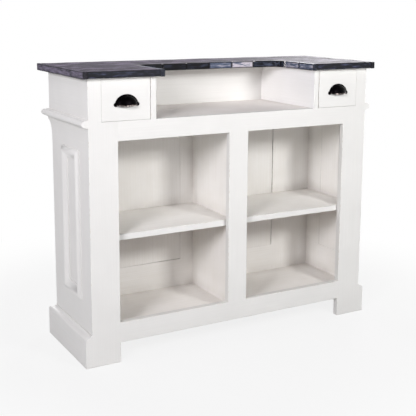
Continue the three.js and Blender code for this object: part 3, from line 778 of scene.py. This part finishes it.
def planksFor(node, count, stripSides):
    (x0, y0, z0), (x1, y1, z1) = millimetres(node)
    x0 += topSet["stripWidth"] + topSet["gap"] / 2 if -1 in stripSides else 0
    x1 -= topSet["stripWidth"] + topSet["gap"] / 2 if 1 in stripSides else 0
    width = (y1 - y0) / count
    obj = makeRun(
        node + "_planks", stains["plank"][0], (x0, y0 + width / 2, (z0 + z1) / 2), (0, width, 0), 0, count,
        (x1 - x0, width - topSet["gap"], z1 - z0, topSet["round"]), (topSet["tone"], 0, topSet["spread"]),
        topSet["wander"], topSet["seeds"][node])
    weighNormals(obj)
    markFaces(settle(obj))
    paintUnderside(obj)
    place(obj, caseBody, "stained_top", node)


def stripFor(side, word, tone):
    (x0, _, z0), (x1, back, z1) = millimetres("countertop_rear")
    front = millimetres("countertop_left_arm")[0][1]
    middle = (x1 if side > 0 else x0) - side * topSet["stripWidth"] / 2
    obj = makeRun(
        word + "_top_strip", stains["plank"][1], (middle, front, (z0 + z1) / 2), (0, 0, 0), 90, 1,
        (back - front, topSet["stripWidth"] - topSet["gap"], z1 - z0, topSet["round"]),
        (tone, 0, topSet["spread"]), topSet["wander"], topSet["stripSeed"] + side)
    weighNormals(obj)
    markFaces(settle(obj))
    place(obj, caseBody, "stained_top")


planksFor("countertop_rear", topSet["rearPlanks"], (-1, 1))
planksFor("countertop_left_arm", topSet["armPlanks"], (-1,))
planksFor("countertop_right_arm", topSet["armPlanks"], (1,))
stripFor(-1, "left", topSet["leftStripTone"])
stripFor(1, "right", topSet["tone"])
print("top planked")


# Edging of the cut-out: short blocks glued along the straight runs, and a solid block at each corner
# that is rounded to the cut-out. Some blocks look pale: a painted reflection of the lamps in their gloss.
edgingSet = {
    "width": 18.0, "block": 106.0, "backBlocks": 4, "armBlocks": 2, "armEnd": 178.0,
    "radius": 50.0, "arcSteps": 10, "round": 1.6, "gap": 1.6, "wander": 1.5,
    # tones set how pale each block's painted reflection is
    "backTone": (-0.35, 0.4, 0.05), "armTone": (0.44, 0.04, 0.1),  # first, step, spread
    "cornerTone": {-1: 0.0, 1: 0.14}, "backSeed": 23, "armSeed": 31,
    "eased": 1.4, "easedSteps": 2, "foldRadians": 0.6, "knockMm": 14.0,  # the right corner's joint is knocked, with chips and a painted sparkle
}


def cornerNear():
    return edgingSet["block"] * edgingSet["backBlocks"] / 2


def armFoot():
    return edgingSet["armEnd"] + millimetres("top_rail")[0][1]


# a slab raised from an outline
def addSlab(bm, outline, rise):
    ring = [bm.verts.new(point) for point in outline]
    raised = bmesh.ops.extrude_face_region(bm, geom=[bm.faces.new(ring)])["geom"]
    bmesh.ops.translate(bm, verts=[v for v in raised if isinstance(v, bmesh.types.BMVert)], vec=rise)


def cornerBlock(side):
    (_, _, z0), (x1, y1, z1) = millimetres("notch_edging")
    inner = x1 - edgingSet["width"]
    back = y1 - edgingSet["width"]
    radius = edgingSet["radius"]
    near = cornerNear() + edgingSet["gap"] / 2
    foot = armFoot() + edgingSet["gap"] / 2
    outline = [(near, back)]
    for i in range(edgingSet["arcSteps"] + 1):
        angle = math.pi / 2 * (1 - i / edgingSet["arcSteps"])
        outline.append((inner - radius + radius * math.cos(angle), back - radius + radius * math.sin(angle)))
    outline += [(inner, foot), (x1, foot), (x1, y1), (near, y1)]
    bm = bmesh.new()
    addSlab(bm, [(side * x * mm, y * mm, z0 * mm) for x, y in outline], (0, 0, (z1 - z0) * mm))
    bmesh.ops.recalc_face_normals(bm, faces=bm.faces)
    sharp = [e for e in bm.edges if e.calc_face_angle() > edgingSet["foldRadians"]]
    bmesh.ops.bevel(
        bm, geom=sharp, offset=edgingSet["eased"] * mm, segments=edgingSet["easedSteps"], profile=0.5,
        affect="EDGES")
    return bm


def makeEdging():
    (_, y0, z0), (x1, y1, z1) = millimetres("notch_edging")
    width, block, gap = edgingSet["width"], edgingSet["block"], edgingSet["gap"]
    rounding, wander = edgingSet["round"], edgingSet["wander"]
    middle, thick = (z0 + z1) / 2, z1 - z0
    backStart = -block * edgingSet["backBlocks"] / 2 + gap / 2
    parts = [makeRun(
        "edging_back", stains["block"][0], (backStart, y1 - width / 2, middle), (block, 0, 0), 0,
        edgingSet["backBlocks"], (block - gap, width, thick, rounding), edgingSet["backTone"], wander,
        edgingSet["backSeed"])]
    armBlock = (armFoot() - y0) / edgingSet["armBlocks"]
    for side in (-1, 1):
        parts.append(makeRun(
            "edging_arm", stains["block"][1], (side * (x1 - width / 2), y0, middle), (0, armBlock, 0), 90,
            edgingSet["armBlocks"], (armBlock - gap, width, thick, rounding), edgingSet["armTone"], wander,
            edgingSet["armSeed"] + side))
    bm = bmesh.new()
    for part in parts:
        before = len(bm.faces)
        bm.from_mesh(part.data)
        bm.faces.ensure_lookup_table()
        for face in bm.faces[before:]:
            face.material_index = int(part != parts[0])
    toneLayer, insetLayer = [bm.verts.layers.float.get(name) for name in ("tone", "inset")]
    for side in (-1, 1):
        corner = cornerBlock(side)
        spare = bpy.data.meshes.new("corner")
        corner.to_mesh(spare)
        before = len(bm.verts)
        bm.from_mesh(spare)
        bm.verts.ensure_lookup_table()
        for vert in bm.verts[before:]:
            vert[toneLayer] = edgingSet["cornerTone"][side]
            vert[insetLayer] = min(abs(vert.co.x) - cornerNear() * mm, vert.co.y - armFoot() * mm)
        corner.free()
        bpy.data.meshes.remove(spare)
    # the knocked joint at the right corner, where chips and a painted sparkle show
    knockLayer = bm.verts.layers.float.new("knockedSparkle")
    for vert in bm.verts:
        offJoint = abs(vert.co.y - armFoot() * mm)
        vert[knockLayer] = float(vert.co.x > 0 and offJoint < edgingSet["knockMm"] * mm)
    for part in parts:
        bpy.data.objects.remove(part)
    obj = bmObject("notch_edging_blocks", bm)
    for material in stains["block"]:
        obj.data.materials.append(material)
    weighNormals(obj)
    markFaces(settle(obj))
    place(obj, caseBody, "stained_top", "notch_edging")


makeEdging()
print("edging blocks set")


# Cup pull: a cast quarter bowl on a flat flange with a screw ear at each lower corner and a lip that
# hangs a little. The parts are joined and fused, so that the castings have soft inner corners.
pullSet = {
    "bowl": (42.0, 22.0, 35.5), "wall": 2.4, "flange": (46.0, 40.0), "flangeThick": 2.6, "ear": 7.5,
    "earAt": (42.5, 3.0), "droop": 3.4, "rimZ": 973.5, "bowlSteps": (40, 16), "flangeSteps": 48,
    "earSteps": 32, "weldMm": 0.01, "voxel": 0.6, "smooth": 5, "smoothFactor": 0.5,
}


def addBowl(bm, shrink, flip):
    a, b, c = [size - shrink for size in pullSet["bowl"]]
    around, up = pullSet["bowlSteps"]
    rows = []
    for j in range(up + 1):
        lift = math.pi / 2 * j / up
        row = []
        for i in range(around + 1):
            turn = math.pi * i / around
            out = math.sin(turn) * math.cos(lift)
            sag = pullSet["droop"] * out ** 2  # the lip hangs lowest in its middle
            rise = c * math.sin(turn) * math.sin(lift)
            row.append(bm.verts.new((a * math.cos(turn), -b * out, rise - sag)))
        rows.append(row)
    for j in range(up):
        for i in range(around):
            quad = [rows[j][i], rows[j][i + 1], rows[j + 1][i + 1], rows[j + 1][i]]
            bm.faces.new(quad[::-1] if flip else quad)
    return rows


def makePull(word):
    node = word + "_drawer_cup_pull"
    low, high = millimetres(node)
    bm = bmesh.new()
    outer = addBowl(bm, 0.0, False)
    inner = addBowl(bm, pullSet["wall"], True)
    for near, far in ((outer[0], inner[0]), (inner[-1], outer[-1])):
        for i in range(len(near) - 1):
            bm.faces.new((near[i + 1], near[i], far[i], far[i + 1]))
    bmesh.ops.remove_doubles(bm, verts=bm.verts, dist=pullSet["weldMm"])
    steps, earSteps, ear = pullSet["flangeSteps"], pullSet["earSteps"], pullSet["ear"]
    flangeX, flangeZ = pullSet["flange"]
    turns = [math.pi * i / steps for i in range(steps + 1)]
    plates = [[(flangeX * math.cos(t), 0, flangeZ * math.sin(t)) for t in turns]]
    earX, earZ = pullSet["earAt"]
    turns = [2 * math.pi * i / earSteps for i in range(earSteps)]
    for side in (-1, 1):
        plates.append([(side * earX + ear * math.cos(t), 0, earZ + ear * math.sin(t)) for t in turns])
    for outline in plates:
        addSlab(bm, outline, (0, -pullSet["flangeThick"], 0))
    bmesh.ops.recalc_face_normals(bm, faces=bm.faces)
    obj = bmObject(node + "_cast", bm)
    at = Vector(((low[0] + high[0]) / 2, high[1], pullSet["rimZ"])) * mm
    obj.data.transform(Matrix.Translation(at) @ Matrix.Scale(mm, 4))
    fuse = obj.modifiers.new("fuse", "REMESH")
    fuse.mode = "VOXEL"
    fuse.voxel_size = pullSet["voxel"] * mm
    soften = obj.modifiers.new("soften", "SMOOTH")
    soften.factor = pullSet["smoothFactor"]
    soften.iterations = pullSet["smooth"]
    settle(obj)
    obj.data.shade_smooth()
    obj.data.materials.append(iron)
    place(obj, bodyOf[node], "pull_iron", node)


for word in ("left", "right"):
    makePull(word)
print("pulls cast")


# Pull screws: a domed head with a cut slot in each ear, left at any angle by the screwdriver
screwSet = {
    "head": 3.3, "dome": 1.5, "slotWide": 0.9, "slotDeep": 0.8, "sink": 0.3, "segments": 28, "rings": 14,
    "perPull": 2, "cutterSpan": 3.0, "sharpDegrees": 40, "seeds": {"left": 4, "right": 9},
}


def makeScrewTree():
    tree, given = newTree("slottedScrews", {
        "Start": "Vector", "Step": "Vector", "Count": "Int", "Head": "Float", "Dome": "Float",
        "Slot Wide": "Float", "Slot Deep": "Float", "Seed": "Int", "Material": "Material",
    })
    ball = add(tree, "GeometryNodeMeshUVSphere", {
        "Segments": screwSet["segments"], "Rings": screwSet["rings"], "Radius": 1.0,
    }).outputs[0]
    size = add(tree, "ShaderNodeCombineXYZ", {
        "X": given["Head"], "Y": given["Dome"], "Z": given["Head"],
    }).outputs[0]
    head = add(tree, "GeometryNodeTransform", {"Geometry": ball, "Scale": size}).outputs[0]
    across = add(tree, "ShaderNodeMath", {
        0: given["Head"], 1: screwSet["cutterSpan"],
    }, operation="MULTIPLY").outputs[0]
    # the cutter is centred on the top of the dome, so half of it cuts
    deep = add(tree, "ShaderNodeMath", {0: given["Slot Deep"], 1: 2.0}, operation="MULTIPLY").outputs[0]
    cutSize = add(tree, "ShaderNodeCombineXYZ", {"X": across, "Y": deep, "Z": given["Slot Wide"]}).outputs[0]
    cutter = add(tree, "GeometryNodeMeshCube", {"Size": cutSize}).outputs[0]
    front = add(tree, "ShaderNodeMath", {0: given["Dome"], 1: -1.0}, operation="MULTIPLY").outputs[0]
    reach = add(tree, "ShaderNodeCombineXYZ", {"Y": front}).outputs[0]
    slot = add(tree, "GeometryNodeTransform", {"Geometry": cutter, "Translation": reach}).outputs[0]
    screw = add(tree, "GeometryNodeMeshBoolean", {0: head, 1: slot}, operation="DIFFERENCE").outputs[0]
    points = add(tree, "GeometryNodeMeshLine", {
        "Count": given["Count"], "Start Location": given["Start"], "Offset": given["Step"],
    }, mode="OFFSET").outputs[0]
    chance = add(tree, "FunctionNodeRandomValue", {
        2: -math.pi / 2, 3: math.pi / 2, "Seed": given["Seed"],
    }, data_type="FLOAT").outputs[1]
    turn = add(tree, "ShaderNodeCombineXYZ", {"Y": chance}).outputs[0]
    driven = add(tree, "GeometryNodeInstanceOnPoints", {
        "Points": points, "Instance": screw, "Rotation": turn,
    }).outputs[0]
    real = add(tree, "GeometryNodeRealizeInstances", {"Geometry": driven}).outputs[0]
    finished = add(tree, "GeometryNodeSetMaterial", {
        "Geometry": real, "Material": given["Material"],
    }).outputs[0]
    add(tree, "NodeGroupOutput", {"Geometry": finished})
    return tree


screwTree = makeScrewTree()


def drivePullScrews(word):
    node = word + "_drawer_cup_pull"
    low, high = millimetres(node)
    earX, earZ = pullSet["earAt"]
    face = high[1] - pullSet["flangeThick"] + screwSet["sink"]
    obj = grow(word + "_pull_screws", screwTree, {
        "Start": [c * mm for c in ((low[0] + high[0]) / 2 - earX, face, pullSet["rimZ"] + earZ)],
        "Step": [2 * earX * mm, 0.0, 0.0], "Count": screwSet["perPull"],
        "Head": screwSet["head"] * mm, "Dome": screwSet["dome"] * mm,
        "Slot Wide": screwSet["slotWide"] * mm, "Slot Deep": screwSet["slotDeep"] * mm,
        "Seed": screwSet["seeds"][word], "Material": iron,
    })
    obj.data.shade_smooth()
    obj.data.set_sharp_from_angle(angle=math.radians(screwSet["sharpDegrees"]))
    place(obj, bodyOf[node], "pull_iron")


for word in ("left", "right"):
    drivePullScrews(word)
print("pull screws driven")


# Floor and studio light: softboxes in front as the photograph's shadows show them, a small one above the left
# end for its mouldings, and fills behind and low down for the other sides
stageSet = {
    "floorSize": 14.0, "floorColour": "#C6C6C6", "floorGlow": (0.84, 1.0), "fadeFrom": 0.8, "fadeTo": 1.7,
    "lamps": {
        "rightFront": {"at": (0.62, -2.48, 1.71), "aim": (0.1, 0.0, 0.6), "size": 0.45, "watts": 39.5},
        "leftNear": {
            "at": (-2.6, -1.9, 1.9), "aim": (-0.3, 0.0, 0.7), "size": 0.9, "watts": 41.0, "tint": "#FAF7FF",
        },
        "leftTop": {
            "at": (-1.3, 0.05, 2.2), "aim": (-0.65, 0.0, 0.6), "size": 0.6, "watts": 4.0, "tint": "#FAF7FF",
        },
        "leftFar": {"at": (-4.47, -3.37, 2.75), "aim": (0.0, 0.0, 0.6), "size": 1.5, "watts": 106.0},
        "rightRear": {"at": (2.6, 2.2, 2.2), "aim": (0.2, 0.0, 0.6), "size": 1.4, "watts": 62.0},
        "lowRear": {"at": (0.1, 3.2, 0.72), "aim": (0.0, 0.2, 0.55), "size": 0.8, "watts": 60.0},
        "lowRight": {"at": (3.1, 0.1, 0.72), "aim": (0.3, 0.0, 0.55), "size": 0.8, "watts": 22.0},
    },
}


# 1 for rays that show the surroundings, 0 for rays that carry light from them to the object
def seenShare(tree):
    rays = add(tree, "ShaderNodeLightPath").outputs
    seen = rays["Is Camera Ray"]
    for kind in ("Is Glossy Ray", "Is Transmission Ray"):
        seen = add(tree, "ShaderNodeMath", {0: seen, 1: rays[kind]}, operation="MAXIMUM").outputs[0]
    return seen


def makeFloor():
    material, tree = blankMaterial("studioFloor")
    diffuse = add(tree, "ShaderNodeBsdfDiffuse", {"Color": linear(stageSet["floorColour"])}).outputs[0]
    white = add(tree, "ShaderNodeEmission", {"Color": (1, 1, 1, 1)}).outputs[0]
    coords = add(tree, "ShaderNodeTexCoord").outputs["Object"]
    away = add(tree, "ShaderNodeVectorMath", {0: coords}, operation="LENGTH").outputs["Value"]
    near, far = stageSet["floorGlow"]
    fade = add(tree, "ShaderNodeMapRange", {
        "Value": away, 1: stageSet["fadeFrom"], 2: stageSet["fadeTo"], 3: near, 4: far,
    }, interpolation_type="SMOOTHSTEP").outputs[0]
    share = add(tree, "ShaderNodeMath", {0: seenShare(tree), 1: fade}, operation="MULTIPLY").outputs[0]
    surface = add(tree, "ShaderNodeMixShader", {0: share, 1: diffuse, 2: white}).outputs[0]
    add(tree, "ShaderNodeOutputMaterial", {"Surface": surface})
    bm = bmesh.new()
    bmesh.ops.create_grid(bm, x_segments=1, y_segments=1, size=stageSet["floorSize"] / 2)
    floor = bmObject("studioFloor", bm)
    floor.data.materials.append(material)


def makeWorld():
    world = bpy.data.worlds.new("studioWorld")
    world.use_nodes = True
    tree = world.node_tree
    tree.nodes.clear()
    white = add(tree, "ShaderNodeBackground", {"Color": (1, 1, 1, 1), "Strength": seenShare(tree)}).outputs[0]
    add(tree, "ShaderNodeOutputWorld", {"Surface": white})
    scene.world = world


def makeLamp(name, at, aim, size, watts, tint="#FFFFFF"):
    data = bpy.data.lights.new(name, "AREA")
    data.color = linear(tint)[:3]
    data.shape = "SQUARE"
    data.size = size
    data.energy = watts
    lamp = bpy.data.objects.new(name, data)
    lamp.location = at
    lamp.visible_camera = False
    lamp.rotation_euler = (Vector(aim) - Vector(at)).to_track_quat("-Z", "Y").to_euler()
    scene.collection.objects.link(lamp)


makeFloor()
makeWorld()
for name, lamp in stageSet["lamps"].items():
    makeLamp(name, **lamp)
print("studio lit")
